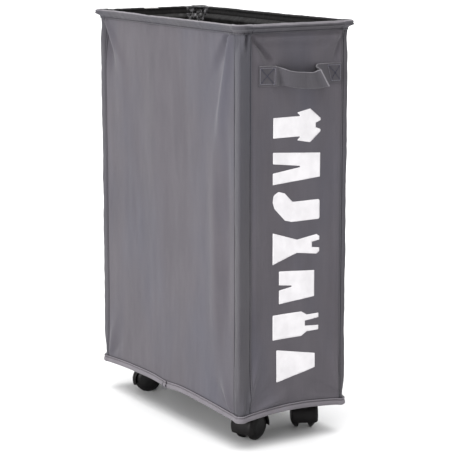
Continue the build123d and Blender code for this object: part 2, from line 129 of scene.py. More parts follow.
def on_side(side, coordinate):
    """u of a point on a side, from its x (front and rear) or y (left and right)."""
    return SIDE_MIDDLE[side] + sum(ALONG[side]) * np.asarray(coordinate, float)


def around(u):
    """x, y, outward direction x and y, side number, and distance in from the side's end, for each u.

    They are those of the plain rounded rectangle. The distance is negative on its rounded corners."""
    u = np.mod(np.asarray(u, float), ROUND)
    found = [np.zeros_like(u)] * 6
    for number, side in enumerate(SIDES):
        half = SIDE_LENGTH[side] / 2
        t = past(SIDE_MIDDLE[side], u)
        (ax, ay), (ox, oy) = ALONG[side], FACING[side]
        fx, fy = FACING[SIDES[(number + 1) % 4]]
        turn = (t - half) / CORNER_RADIUS
        dx = ox * np.cos(turn) + fx * np.sin(turn)
        dy = oy * np.cos(turn) + fy * np.sin(turn)
        cx = (HALF_X - CORNER_RADIUS) * (ox + fx)
        cy = (HALF_Y - CORNER_RADIUS) * (oy + fy)
        on_flat = (ax * t + ox * HALF_X, ay * t + oy * HALF_Y, ox, oy, number, half - np.abs(t))
        to_flat = np.minimum(turn, math.pi / 2 - turn)
        on_corner = (cx + CORNER_RADIUS * dx, cy + CORNER_RADIUS * dy, dx, dy, number,
                     -CORNER_RADIUS * to_flat)
        flat = np.abs(t) <= half + 1e-12
        corner = (turn > 0) & (turn < math.pi / 2)
        for here, values in ((flat, on_flat), (corner, on_corner)):
            found = [np.where(here, new, old) for new, old in zip(values, found)]
    return found


def off_wall(u, out, z):
    """Points out metres off the plain rounded rectangle at u, at height z."""
    x, y, nx, ny = around(u)[:4]
    return np.stack(np.broadcast_arrays(x + nx * out, y + ny * out, z), axis=-1)


def skirt_low(u):
    """Height of the skirt's lower edge, which arches up along every side."""
    index, inward = around(u)[4:]
    half = np.where(index % 2 == 0, FLAT_X / 2, FLAT_Y / 2)
    share = np.clip(1 - np.maximum(inward, 0) / half, 0, 1)
    join = float(on_side("left", 6 * MM))  # the tape's lapped ends hang lower
    join_sag = 3.0 * MM * bump(np.mod(u, ROUND), join, 28 * MM)
    return SKIRT_LOW + SKIRT_RISE * (1 - share**2) - join_sag


# ---- folds ---------------------------------------------------------------------------------------
# Each fold is a soft ridge, or a valley where its height is below 0, from a pinned start to where it
# fades out: start and end (each the side's own coordinate and z), width and height in millimetres, how
# many times wider it ends, its lean (above 0 the left flank is the steeper one, below 0 the right), and
# the shares of its length at which it has risen and at which it begins to fade.
FOLDS = {
    "left": [
        # pinched beside the near corner's sleeve, under the hem
        (-162, 572, -112, 486, 4.2, -3.2, 3.2, 0.25, 0.03, 0.25),
        (-164, 574, -146, 522, 3, -2.2, 1.8, 0, 0.02, 0.3),
        (-172, 570, -128, 384, 4, 2.6, 3.4, 0, 0.06, 0.55),
        (-128, 424, -132, 94, 13, 1.8, 1.3, 0, 0.3, 0.6),
        (-158, 474, -160, 154, 8, -1.1, 1.3, 0, 0.3, 0.7),
        # from the rear corner, a sharp crease running down and forwards
        (181, 572, 100, 470, 3.4, 2.2, 4.2, -0.35, 0.03, 0.3),
        (186, 568, 150, 474, 6.5, -3.6, 2.2, 0, 0.04, 0.45),
        (140, 534, 112, 334, 15, 0.9, 1.6, 0, 0.35, 0.5),
        # creases that meet at the two lower corners
        (-176, 48, -140, 116, 3.2, 2.5, 3.5, 0.3, 0.05, 0.3),
        (-168, 48, -118, 96, 4, -1.5, 3, 0, 0.05, 0.3),
        (178, 50, 150, 134, 4, 1.2, 3, 0, 0.08, 0.4),
        (170, 54, 128, 100, 5, -1, 2.6, 0, 0.08, 0.4),
        # broad, faint hanging waves
        (40, 564, 26, 124, 20, 0.8, 1.3, 0, 0.2, 0.7),
        (-36, 564, -60, 204, 18, -0.7, 1.3, 0, 0.2, 0.7),
    ],
    "front": [
        (-75, 560, 84, 558, 3.4, 1.35, 1, 0, 0.12, 0.9),
        (-75, 551, 84, 549, 4.4, -0.55, 1, 0, 0.12, 0.9),
        (-70, 564, -30, 523, 3, -2.3, 1.8, 0.3, 0.05, 0.7),
        (-66, 556, -46, 516, 4, 1.5, 1.6, 0, 0.1, 0.5),
        (80, 560, 60, 512, 4.2, -2.4, 2.2, -0.3, 0.05, 0.4),
        (72, 560, 34, 532, 5, 1.1, 2, 0, 0.1, 0.4),
        (-70, 56, -20, 102, 3.6, -1.7, 3.2, 0.3, 0.05, 0.35),
        (-72, 68, -50, 154, 3.2, 1.9, 2.6, 0, 0.05, 0.4),
        (-66, 50, 10, 78, 3.4, 2.1, 3, 0, 0.05, 0.35),
        (79, 56, 14, 88, 3.6, -1.4, 3.2, -0.3, 0.05, 0.35),
        (78, 64, 66, 134, 3, 1.8, 2.6, 0, 0.05, 0.5),
        (74, 50, 20, 64, 3.2, 1.6, 2.6, 0, 0.05, 0.35),
        (-62, 484, -60, 124, 5, 0.9, 1.2, 0, 0.3, 0.7),
        (72, 474, 72, 124, 4, 0.8, 1.2, 0, 0.3, 0.7),
    ],
    "rear": [
        (-73, 560, 73, 560, 3.6, 1.2, 1, 0, 0.12, 0.9),
        (-73, 551, 73, 552, 5, -0.5, 1, 0, 0.12, 0.9),
        (68, 564, 34, 516, 3.6, -2.1, 2.2, -0.3, 0.05, 0.5),
        (-68, 564, -44, 502, 3.8, -2.2, 2.2, 0.3, 0.05, 0.5),
        (-60, 562, -20, 528, 4.2, 1.1, 2, 0, 0.1, 0.4),
        (70, 58, 18, 100, 3.6, -1.6, 3.2, 0, 0.05, 0.4),
        (-70, 58, -22, 94, 3.8, -1.5, 3, 0, 0.05, 0.4),
        (60, 484, 58, 144, 5, 0.9, 1.2, 0, 0.3, 0.7),
        (4, 504, -8, 124, 12, 0.9, 1.3, 0, 0.3, 0.6),
    ],
    "right": [
        (-168, 570, -118, 480, 4.6, -3, 3, 0.25, 0.05, 0.3),
        (-174, 570, -132, 404, 4, 2.2, 3.2, 0, 0.06, 0.5),
        (170, 570, 104, 474, 4.2, -2.8, 3.4, -0.3, 0.05, 0.3),
        (176, 570, 136, 394, 4, 2.1, 3.2, 0, 0.06, 0.5),
        (132, 434, 138, 114, 13, 1.4, 1.3, 0, 0.3, 0.6),
        (-130, 414, -136, 104, 12, 1.5, 1.3, 0, 0.3, 0.6),
        (176, 48, 126, 104, 3.8, 1.3, 3.2, 0, 0.05, 0.35),
        (-176, 48, -124, 108, 3.6, -1.4, 3.2, 0, 0.05, 0.35),
        (20, 564, 8, 154, 20, 0.8, 1.3, 0, 0.2, 0.7),
        (-60, 544, -48, 164, 16, -0.7, 1.4, 0, 0.2, 0.7),
    ],
}
FOLD_DEPTH = 2.1


def fold_rise(h, z, fold):
    """How far one fold stands out at side coordinate h and height z."""
    start_h, start_z, end_h, end_z, width, height = (value * MM for value in fold[:6])
    spread, lean, hold, fade = fold[6:]
    run, climb = end_h - start_h, end_z - start_z
    length = math.hypot(run, climb)
    t = ((h - start_h) * run + (z - start_z) * climb) / length**2
    across = ((h - start_h) * climb - (z - start_z) * run) / length
    width = width * (1 + (spread - 1) * np.clip(t, 0, 1))
    side = 1 + lean * np.tanh(across / width)
    along = smooth(-0.04, hold, t) * (1 - smooth(fade, 1.0, t))
    return height * along * np.exp(-((across / (width * side)) ** 2))


def hang(u, z):
    """How far the cloth stands out of the plain wall at u and height z."""
    index, inward = around(u)[4:]
    total = np.zeros(np.broadcast(u, z).shape)
    for number, side in enumerate(SIDES):
        h = sum(ALONG[side]) * past(SIDE_MIDDLE[side], u)
        here = FOLD_DEPTH * sum(fold_rise(h, z, fold) for fold in FOLDS[side])
        seed = 10 * number
        here = here + 0.55 * MM * ripple(h, z, 0.030, 0.150, seed + 1)
        here = here + 0.30 * MM * ripple(h, z, 0.012, 0.055, seed + 2)
        here = here + 0.10 * MM * ripple(h, z, 0.0045, 0.011, seed + 3)
        under_hem = smooth(HEM_LOW - 24 * MM, HEM_LOW - 2 * MM, z)
        here = here + 0.45 * MM * under_hem * ripple(h, z, 0.007, 0.030, seed + 4)
        over_tape = 1 - smooth(0.055, 0.090, z)
        here = here + 0.40 * MM * over_tape * ripple(h, z, 0.008, 0.030, seed + 5)
        total = np.where(index == number, here, total)
    deepest = MM * (1.4 + 5.8 * smooth(0.074, 0.110, z))  # so that no valley reaches the base board
    total = np.maximum(total, -deepest)
    inside = smooth(-1 * MM, 14 * MM, inward)
    low_edge = smooth(BINDING_HEIGHT - 1 * MM, BINDING_HEIGHT + 9 * MM, z - skirt_low(u))
    high_edge = 1 - smooth(HEM_LOW - 5 * MM, HEM_LOW + 1 * MM, z)
    arch = np.sin(np.pi * np.clip((z - 0.05) / 0.5, 0, 1))
    belly = 1.2 * MM * smooth(0, 0.05, inward) * arch
    return total * inside * low_edge * high_edge - belly


def rim_spread(u):
    """How far the rim wire stands out at u: its corners push further out than its sides."""
    corner = 1 - smooth(-2 * MM, 26 * MM, around(u)[5])
    return 1.8 * MM * corner + 0.35 * MM * ripple(u, 0, 0.04, 1, 77)


def skirt_flare(z):
    """How far the skirt widens towards its lower edge."""
    return 1.4 * MM * (1 - smooth(0.04, 0.16, z))


def wall_shape(u, z, out=0.0):
    """Points on the hanging cloth, out metres off its face."""
    u, z, out = np.broadcast_arrays(*(np.asarray(value, float) for value in (u, z, out)))
    flare = rim_spread(u) * smooth(HEM_LOW - 14 * MM, HEM_LOW + 4 * MM, z)
    return off_wall(u, out + hang(u, z) + flare + skirt_flare(z), z)


def surface(u, z, out=0.0):
    """Points on the cloth's face and their true normals, from the slopes of the shape."""
    step = 0.4 * MM
    point = wall_shape(u, z, out)
    du = wall_shape(u + step, z, out) - wall_shape(u - step, z, out)
    dz = wall_shape(u, z + step, out) - wall_shape(u, z - step, out)
    normal = np.cross(du, dz)
    normal /= np.linalg.norm(normal, axis=-1, keepdims=True)
    return point, normal


# ---- mesh helpers --------------------------------------------------------------------------------
def object_from(name, vertices, faces, material, uv=None):
    mesh = bpy.data.meshes.new(name)
    mesh.from_pydata([tuple(v) for v in vertices], [], [tuple(f) for f in faces])
    if uv is not None:
        layer = mesh.uv_layers.new(name="Cloth")
        loops = np.zeros(len(mesh.loops), int)
        mesh.loops.foreach_get("vertex_index", loops)
        layer.data.foreach_set("uv", np.asarray(uv, float)[loops].ravel())
    mesh.materials.append(material)
    mesh.polygons.foreach_set("use_smooth", [True] * len(mesh.polygons))
    mesh.update()
    piece = bpy.data.objects.new(name, mesh)
    bpy.context.scene.collection.objects.link(piece)
    return piece


def grid_faces(rows, columns, closed_rows=False, closed_columns=False):
    """Quads of a grid of points, numbered row by row, facing so that rows x columns points outwards."""
    faces = []
    for i in range(rows if closed_rows else rows - 1):
        for j in range(columns if closed_columns else columns - 1):
            a = i * columns + j
            b = ((i + 1) % rows) * columns + j
            c = ((i + 1) % rows) * columns + (j + 1) % columns
            d = i * columns + (j + 1) % columns
            faces.append((a, b, c, d))
    return faces


def grid_object(name, points, uv, material, closed_rows=False, closed_columns=False):
    rows, columns = points.shape[:2]
    faces = grid_faces(rows, columns, closed_rows, closed_columns)
    return object_from(name, points.reshape(-1, 3), faces, material, uv.reshape(-1, 2))


def thicken(piece, thickness):
    """Gives a sheet its thickness, inwards from its face."""
    solid = piece.modifiers.new("thickness", "SOLIDIFY")
    solid.thickness = thickness
    solid.offset = -1.0
    solid.use_even_offset = True
    apply_modifiers(piece)


def apply_modifiers(piece):
    graph = bpy.context.evaluated_depsgraph_get()
    mesh = bpy.data.meshes.new_from_object(piece.evaluated_get(graph))
    old = piece.data
    piece.modifiers.clear()
    piece.data = mesh
    bpy.data.meshes.remove(old)


# ---- materials -----------------------------------------------------------------------------------
class Material:
    """A node material under construction. Each method adds nodes and returns their result."""

    def __init__(self, name, roughness=0.7, metallic=0.0, sheen=0.0, coat=0.0, specular=0.5):
        self.material = bpy.data.materials.new(name)
        self.material.use_nodes = True
        self.tree = self.material.node_tree
        self.shader = self.tree.nodes["Principled BSDF"]
        for socket, value in (("Roughness", roughness), ("Metallic", metallic), ("Sheen Weight", sheen),
                              ("Sheen Roughness", 0.45), ("Coat Weight", coat),
                              ("Specular IOR Level", specular)):
            self.feed(self.shader.inputs[socket], value)

    def feed(self, socket, value):
        """Sets a socket to a number or a tuple, or links another node's result to it."""
        if isinstance(value, (int, float, tuple)):
            socket.default_value = value
        else:
            self.tree.links.new(value, socket)

    def add(self, kind, inputs, output=0, **settings):
        node = self.tree.nodes.new(kind)
        for key, value in settings.items():
            setattr(node, key, value)
        for key, value in inputs.items():
            self.feed(node.inputs[key], value)
        return node.outputs[output]

    def math(self, operation, a, b=0.0):
        return self.add("ShaderNodeMath", {0: a, 1: b}, operation=operation)

    def weigh(self, *parts, plus=None):
        """The sum of some values times their weights, plus one more value as it is."""
        total = None
        for value, weight in parts:
            part = self.math("MULTIPLY", value, weight)
            total = part if total is None else self.math("ADD", total, part)
        return total if plus is None else self.math("ADD", total, plus)

    def place(self, scale=(1, 1, 1), turn=0.0, from_uv=False):
        """Coordinates in metres times scale, from the cloth's own UV map or the piece's own frame."""
        if from_uv:
            source = self.add("ShaderNodeUVMap", {}, uv_map="Cloth")
        else:
            source = self.add("ShaderNodeTexCoord", {}, "Object")
        return self.add("ShaderNodeMapping", {"Vector": source, "Scale": scale, "Rotation": (0, 0, turn)})

    def sines(self, vector, wave, axes=(0, 1)):
        """Sines of wave times those of the coordinates."""
        separate = self.tree.nodes.new("ShaderNodeSeparateXYZ")
        self.feed(separate.inputs[0], vector)
        return [self.math("SINE", self.math("MULTIPLY", separate.outputs[k], wave)) for k in axes]

    def noise(self, vector, scale=1.0, detail=3.0, roughness=0.55):
        inputs = {"Vector": vector, "Scale": scale, "Detail": detail, "Roughness": roughness}
        return self.add("ShaderNodeTexNoise", inputs, "Fac")

    def ramp(self, value, *stops):
        node = self.tree.nodes.new("ShaderNodeValToRGB")
        for element, (position, colour) in zip(node.color_ramp.elements, stops):
            element.position = position
            element.color = (*colour, 1.0)
        self.feed(node.inputs[0], value)
        return node.outputs[0]

    def bump(self, height, strength, distance):
        inputs = {"Strength": strength, "Distance": distance, "Height": height}
        return self.add("ShaderNodeBump", inputs)

    def finish(self, colour, roughness=None, normal=None):
        for value, socket in ((colour, "Base Color"), (roughness, "Roughness"), (normal, "Normal")):
            if value is not None:
                self.feed(self.shader.inputs[socket], value)
        return self.material


def tone(colour, factor, lift=0.0):
    return tuple(factor * c + lift for c in colour)


def weave_height(m, pitch):
    """Over-and-under bumps of a plain weave whose yarns stand pitch metres apart."""
    return m.math("MULTIPLY", *m.sines(m.place(from_uv=True), math.pi / pitch))


def woven(name, dark, light, pitch=0.75 * MM, twill=False, tint=None, bump_strength=0.55):
    """A yarn-dyed cloth: slubby yarns both ways, soft mottling, and its weave as bump."""
    m = Material(name, roughness=0.86, sheen=0.12, specular=0.22)
    warp, weft, mottle, streak = (
        m.noise(m.place((along, up, 1), from_uv=True), detail=detail)
        for along, up, detail in ((1500, 22, 2.0), (40, 1300, 2.0), (16, 8, 3.0), (44, 6, 3.0))
    )
    yarns = m.weigh((warp, 0.6), (weft, 0.4))
    soft = m.weigh((mottle, 0.55), (streak, 0.45))
    colour = m.ramp(m.weigh((yarns, 0.35), (soft, 0.65)), (0.36, dark), (0.64, light))
    if tint:
        hue = m.noise(m.place((9, 3, 1), from_uv=True), detail=3.0)
        share = m.ramp(hue, (0.45, (0, 0, 0)), (0.70, (0.5, 0.5, 0.5)))
        inputs = {0: share, 6: colour, 7: (*tint, 1.0)}
        colour = m.add("ShaderNodeMix", inputs, 2, data_type="RGBA", blend_type="MIX")
    if twill:
        slanting = m.place(turn=math.radians(38), from_uv=True)
        [height] = m.sines(slanting, 2 * math.pi / pitch, axes=(0,))
    else:
        height = weave_height(m, pitch)
    height = m.weigh((height, 0.5), (yarns, 0.9))
    return m.finish(colour, normal=m.bump(height, bump_strength, 0.12 * MM))


def grained(name, dark, light, cloud, gloss, fine, relief, **shader):
    """A surface whose colour and gloss follow one noise (cloud), and its bump a second one (fine).

    dark and light are ramp stops, gloss is how far the roughness varies and where it starts, and relief
    is the bump's strength and distance."""
    m = Material(name, **shader)
    clouds = m.noise(m.place(cloud[0]), *cloud[1:])
    grain = m.noise(m.place(fine[0]), *fine[1:]) if fine else clouds
    roughness = m.weigh((clouds, gloss[0]), plus=gloss[1]) if gloss else None
    return m.finish(m.ramp(clouds, dark, light), roughness, m.bump(grain, *relief))


EVEN = (1, 1, 1)


def plastic(name, colour, roughness, grain=2600.0, strength=0.12):
    """Moulded nylon: nearly even, with a fine spark-eroded grain and faint handling marks."""
    return grained(name, (0.35, colour), (0.75, tone(colour, 1.7, 0.002)), (EVEN, 90.0, 5.0, 0.7),
                   (0.22, roughness - 0.11), (EVEN, grain, 2.0), (strength, 0.05 * MM), specular=0.11)


def sewing_thread(name, colour):
    return grained(name, (0.3, tone(colour, 0.7)), (0.7, colour), (EVEN, 2600.0, 2.0), None, None,
                   (0.4, 0.05 * MM), roughness=0.8, specular=0.1)


def coated_lining(name, dark, light, start, scale):
    """Thin black cloth with a waterproof coat: crinkled, with broken soft highlights painted into its colour
    along the crinkles.
    """
    m = Material(name, specular=0.17, coat=0.03)
    crease = m.noise(m.place((1, 1, 0.6)), scale, detail=6.0, roughness=0.65)
    fine = m.noise(m.place(), 900.0, detail=2.0)
    # painted highlights: the ramp lightens the colour where the crinkle noise is high
    shade = m.ramp(crease, (start, dark), (0.7, light))
    gloss = m.weigh((crease, 0.3), plus=0.30)
    return m.finish(shade, gloss, m.bump(m.weigh((fine, 0.15), plus=crease), 0.7, 1.2 * MM))


def printed_ink():
    """White screen-print ink: the weave shows through faintly, and its white varies in soft patches."""
    m = Material("white_print", roughness=0.6, specular=0.35)
    patch = m.noise(m.place((60, 60, 60)), detail=4.0)
    shade = m.ramp(patch, (0.35, (0.57, 0.555, 0.57)), (0.65, (0.63, 0.615, 0.63)))
    return m.finish(shade, normal=m.bump(weave_height(m, 0.75 * MM), 0.25, 0.06 * MM))


OXFORD = woven("grey_oxford_cloth", (0.061, 0.056, 0.065), (0.084, 0.077, 0.087), tint=(0.064, 0.066, 0.086))
SLEEVE_CLOTH = woven("grey_sleeve_cloth", (0.050, 0.047, 0.054), (0.068, 0.065, 0.072),
                     tint=(0.053, 0.055, 0.070))
# painted highlight: a lighter cloth for the hem's top over the wire, where light catches the fold
HEM_TOP_HIGHLIGHT = woven("painted_highlight_hem_top", (0.110, 0.103, 0.113), (0.170, 0.160, 0.174))
TAPE = woven("grey_binding_tape", (0.108, 0.100, 0.111), (0.150, 0.139, 0.154), pitch=1.3 * MM,
             twill=True, bump_strength=0.9)
WEBBING = woven("grey_webbing", (0.046, 0.043, 0.050), (0.080, 0.076, 0.085), pitch=1.1 * MM,
                bump_strength=0.9)
# painted highlight: a lighter webbing for the strap's upper edge and its slanting crease, where light
# catches them
STRAP_EDGE_HIGHLIGHT = woven("painted_highlight_webbing", (0.115, 0.109, 0.119), (0.200, 0.192, 0.208), pitch=1.1 * MM,
                 bump_strength=0.9)
INK = printed_ink()
LINING = coated_lining("black_lining", (0.0034, 0.0031, 0.0036), (0.011, 0.0098, 0.0098), 0.35, 130.0)
# painted highlights: pale crinkle highlights for the lining's gathers at the corners
GATHER_HIGHLIGHTS = coated_lining("gathered_lining_painted_highlights", (0.0050, 0.0045, 0.0050), (0.24, 0.235, 0.245), 0.48, 190.0)
DARK_THREAD = sewing_thread("dark_thread", (0.010, 0.008, 0.013))
GREY_THREAD = sewing_thread("grey_thread", (0.22, 0.21, 0.245))
BLUE_THREAD = sewing_thread("blue_grey_thread", (0.030, 0.032, 0.060))
NYLON = plastic("black_nylon", (0.0043, 0.0038, 0.0040), 0.42)
TREAD = plastic("wheel_nylon", (0.0033, 0.0030, 0.0032), 0.36, grain=1800.0, strength=0.08)
# plated steel with fine lengthwise scratches, powder-coated steel, and black-faced fibreboard
ZINC = grained("zinc_plated_steel", (0.3, tone((0.62, 0.61, 0.60), 0.82)), (0.7, (0.62, 0.61, 0.60)),
               (EVEN, 160.0, 4.0), (0.25, 0.22), ((900, 900, 60), 1.0, 3.0), (0.15, 0.03 * MM), metallic=1.0)
COATED_STEEL = grained("frame_steel", (0.3, (0.028, 0.028, 0.030)), (0.7, (0.0364, 0.0364, 0.039)),
                       (EVEN, 70.0, 4.0), (0.2, 0.32), (EVEN, 900.0, 2.0), (0.2, 0.05 * MM), coat=0.25)
BOARD = grained("black_board", (0.3, (0.010, 0.010, 0.011)), (0.7, (0.026, 0.025, 0.026)),
                ((240, 240, 900), 1.0, 5.0, 0.7), (0.3, 0.42), None, (0.25, 0.1 * MM), specular=0.4)


# ---- cloth pieces --------------------------------------------------------------------------------
def spaced(low, high, pitch):
    return np.linspace(low, high, max(2, int(round(abs(high - low) / pitch)) + 1))


def cloth_grid(u, share, out=0.0):
    """Points and UVs of a grid over the wall: u, and share from the skirt's edge to the hem's foot."""
    uu, ss = np.meshgrid(u, share, indexing="ij")
    low = skirt_low(uu) + 1.0 * MM
    z = low + ss * (HEM_LOW + 0.5 * MM - low)
    return wall_shape(uu, z, out), np.stack([uu, z], axis=-1)


def panel(side, pitch):
    low, high = PANEL_HALF[side]
    tuck = 2.5 * MM
    u = spaced(*sorted(on_side(side, (low - tuck, high + tuck))), pitch)
    points, uv = cloth_grid(u, spaced(0.0, 1.0, pitch / WALL_TALL))
    piece = grid_object(f"{side}_panel_cloth", points, uv, OXFORD)
    thicken(piece, CLOTH)
    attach(piece, "root")
    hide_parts(f"{side}_panel")


SEAM_IN = 2.4 * MM  # from a corner strip's edge to its stitches
CORNERS = {
    "front_left": ("left", "front"),
    "front_right": ("front", "right"),
    "rear_right": ("right", "rear"),
    "rear_left": ("rear", "left"),
}


def sleeve_span(name):
    """Where a corner strip starts and ends, in u."""
    before, after = CORNERS[name]
    first = max(on_side(before, PANEL_HALF[before]))
    last = min(on_side(after, PANEL_HALF[after]))
    return first, last + (ROUND if last < first else 0.0)


def sleeve_rise(name, u, z):
    """How a corner strip stands off the panels: folded edges, sewn dimples, and the pole's tunnel."""
    first, last = sleeve_span(name)
    edge = np.minimum(u - first, last - u)
    lap = 1.1 * MM * smooth(0, 0.7 * MM, edge)
    stitch = -0.95 * MM * bump(edge, SEAM_IN, 0.7 * MM)
    before = CORNERS[name][0]
    corner = SIDE_MIDDLE[before] + SIDE_LENGTH[before] / 2 + ARC / 2
    reach = np.where(u < corner, corner - first, last - corner) - 3.4 * MM
    share = np.clip(1 - np.abs(u - corner) / reach, 0, 1)
    above = z - skirt_low(u)
    ends = smooth(BINDING_HEIGHT, BINDING_HEIGHT + 34 * MM, above)
    ends = ends * (1 - smooth(HEM_LOW - 36 * MM, HEM_LOW - 2 * MM, z))
    under_tape = 0.25 + 0.75 * smooth(BINDING_HEIGHT, BINDING_HEIGHT + 8 * MM, above)
    turn = np.clip(ARC / 2 - np.abs(u - corner), 0, None) / CORNER_RADIUS
    sharp, tall = (0.8, 1.9 * MM) if name == "front_left" else (0.3, 0.8 * MM)
    crease = sharp * (CORNER_RADIUS + 3 * MM) * (1 / np.cos(turn) - 1) * (0.4 + 0.6 * ends)
    tunnel = tall * share * (1.25 - 0.25 * share) * ends
    return (lap + stitch) * under_tape + tunnel + crease


def corner_sleeve(name):
    first, last = sleeve_span(name)
    edge = np.array([0, 0.25, 0.5, 0.9]) * MM
    middle = spaced(first + 1.4 * MM, last - 1.4 * MM, 0.8 * MM)
    u = np.concatenate([first + edge, middle, (last - edge)[::-1]])
    share = spaced(0.0, 1.0, 3.2 * MM / WALL_TALL)
    uu, zz = np.meshgrid(u, SKIRT_LOW + share * (HEM_LOW - SKIRT_LOW), indexing="ij")
    rise = 0.15 * MM + sleeve_rise(name, uu, zz)
    seed = 31 + 7 * list(CORNERS).index(name)
    inside = smooth(0.9 * MM, 5 * MM, np.minimum(uu - first, last - uu))
    crumple = 0.5 * MM * ripple(uu, zz, 0.006, 0.035, seed)
    crumple = crumple + 0.35 * MM * ripple(uu, zz, 0.005, 0.007, seed + 1)
    # gathered where the strip is caught under the hem and into the binding
    over_tape = smooth(BINDING_HEIGHT, BINDING_HEIGHT + 6 * MM, zz - SKIRT_LOW)
    low_end = (1 - smooth(SKIRT_LOW + 12 * MM, SKIRT_LOW + 55 * MM, zz)) * over_tape
    caught = smooth(HEM_LOW - 34 * MM, HEM_LOW - 4 * MM, zz) + low_end
    deep, drawn_in = (2.8, 0.3) if name == "front_left" else (1.2, 1.6)
    pinch = (deep * ripple(uu, zz, 0.0036, 0.06, seed + 2) - drawn_in) * MM * caught
    smooth_strip, _ = cloth_grid(u, share, out=rise)
    points, uv = cloth_grid(u, share, out=rise + (crumple * over_tape + pinch) * inside)
    piece = grid_object(f"corner_sleeve_cloth_{name}", points, uv, SLEEVE_CLOTH)
    thicken(piece, 0.8 * MM)
    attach(piece, "root")
    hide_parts(f"corner_sleeve_{name}")


def end_seams():
    """u of the four seams that run on from the corner strips over the rim, on the two narrow ends."""
    return [sleeve_span(name)[1 if CORNERS[name][1] in ("front", "rear") else 0] for name in CORNERS]


def round_stations(pitch):
    """u values all the way round, closer together at the corners."""
    stations = []
    for side in SIDES:
        half = SIDE_LENGTH[side] / 2
        middle = SIDE_MIDDLE[side]
        stations.extend(np.linspace(middle - half, middle + half, int(2 * half / pitch) + 1))
        stations.extend(middle + half + ARC * np.array([0.15, 0.3, 0.45, 0.55, 0.7, 0.85]))
    for seam in end_seams():
        stations.extend(seam + MM * np.array([-2.0, -1.3, -0.8, -0.4, 0.0, 0.4, 0.8, 1.3, 2.0]))
    return np.sort(np.mod(np.array(stations), ROUND))


def ring_of(name, section, pitch, material):
    """A closed band round the hamper. section(u) gives, at each u, the loop of (out, z) of its profile."""
    u = round_stations(pitch)
    out, z = section(u[:, None])
    points = off_wall(u[:, None], out, z)
    along = np.hypot(np.diff(out[0], append=out[0][:1]), np.diff(z[0], append=z[0][:1]))
    v = np.concatenate([[0], np.cumsum(along)[:-1]])
    uv = np.stack(np.broadcast_arrays(u[:, None], v[None, :]), axis=-1)
    return grid_object(name, points, uv, material, closed_rows=True, closed_columns=True)


WIRE_RADIUS = 2.9 * MM
HEM_SEAM = HEM_LOW + 0.9 * MM


def hem_section(u):
    """The folded hem's profile, from its sewn foot up over the wire and down inside."""
    spread = rim_spread(u)
    pucker = 0.5 * MM * ripple(u, 0, 0.007, 1, 91) + 0.35 * MM * ripple(u, 0, 0.0028, 1, 92)
    sleeve, soft = 0.0, 0.6 * MM
    for name in CORNERS:
        first, last = sleeve_span(name)
        starts = smooth(-soft, soft, past(first, u))
        sleeve = sleeve + starts * (1 - smooth(-soft, soft, past(first, u) - (last - first)))
    groove = sum(bump(past(seam, u), 0, 0.75 * MM) for seam in end_seams())
    side, inward = around(u)[4:]
    thick = 1.5 * MM * sleeve - 1.3 * MM * groove
    point = 2.6 * MM * (1 - smooth(-4.4 * MM, 6 * MM, inward))
    dip = 0.6 * MM * ripple(u, 0, 0.05, 1, 93)
    wire_out = RIM_OUT - WIRE_RADIUS + spread
    wire_z = RIM_TOP - WIRE_RADIUS + dip - 0.4 * MM
    puff = np.where(side % 2 == 0, 1.0, 0.45)
    # on the narrow ends the loose cloth slopes away from the wire
    shoulder = 1.9 * MM * np.where(side % 2 == 0, smooth(-2 * MM, 14 * MM, inward), 0.0)
    # Rows: how far out, how high above the seam, its share of the puckers, its share of the way to the
    # wire, and how much it puffs out.
    face = [
        (0.10, -0.9, 0.0, 0.0, 0.0),
        (0.90, -0.6, 0.1, 0.0, 0.0),
        (1.00, 0.1, 0.2, 0.0, 0.0),
        (0.45, 0.9, 0.3, 0.0, 0.0),
        (0.60, 1.8, 0.8, 0.03, 0.0),
        (0.70, 3.2, 1.0, 0.12, 0.1),
        (0.90, 4.8, 1.0, 0.40, 1.2),
        (1.10, 6.4, 0.8, 0.74, 2.5),
    ]
    out, z = [], []
    reach = wire_out + WIRE_RADIUS - 1.4 * MM
    for o, up, ruffle, share, swell in face:
        stand = (o + swell * puff) * MM + thick + share * reach
        out.append(stand + ruffle * pucker + (0.35 + 0.9 * share) * point)
        z.append(HEM_SEAM + up * MM + 0.0 * u)
    for degrees in range(-30, 211, 20):
        sine, cosine = math.sin(math.radians(degrees)), math.cos(math.radians(degrees))
        loose = WIRE_RADIUS * (1.0 + 0.10 * cosine)
        out.append(wire_out + (loose + 0.6 * thick) * cosine + 0.3 * pucker + point)
        sag = shoulder * cosine**2 if degrees < 90 else 0.0
        z.append(wire_z + WIRE_RADIUS * sine + 0.4 * (pucker + thick) - sag)
    for o, up in ((-1.1, 4.5), (-1.3, 1.5), (-1.3, -0.9), (-0.6, -1.2)):
        out.append(o * MM + 0.1 * pucker)
        z.append(HEM_SEAM + up * MM + 0.0 * u)
    return np.concatenate(out, axis=1), np.concatenate(z, axis=1)


FIRST_INNER_COLUMN = 15
# the hem's columns over the top of the wire, which carry the painted highlight
TOP_COLUMNS = (11, 12, 13, 14)
HEM_PITCH = 2.4 * MM


def top_hem():
    """Grey outside and over the wire, with a painted highlight along the top of the wire, and the black
    lining's cloth turned up inside it, with painted highlights on its gathers near the corners.
    """
    piece = ring_of("top_hem_cloth", hem_section, HEM_PITCH, SLEEVE_CLOTH)
    for material in (LINING, GATHER_HIGHLIGHTS, HEM_TOP_HIGHLIGHT):
        piece.data.materials.append(material)
    columns = hem_section(np.zeros((1, 1)))[0].shape[1]
    inward = around(round_stations(HEM_PITCH))[5]
    for face in piece.data.polygons:
        first = min(vertex % columns for vertex in face.vertices)
        if first >= FIRST_INNER_COLUMN:
            # near the corners the inside takes the lining with painted gather highlights
            near_corner = inward[min(face.vertices) // columns] < 17 * MM
            face.material_index = 2 if near_corner else 1
        # painted highlight along the top of the hem over the wire
        elif first in TOP_COLUMNS:
            face.material_index = 3
    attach(piece, "root")
    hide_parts("top_hem")


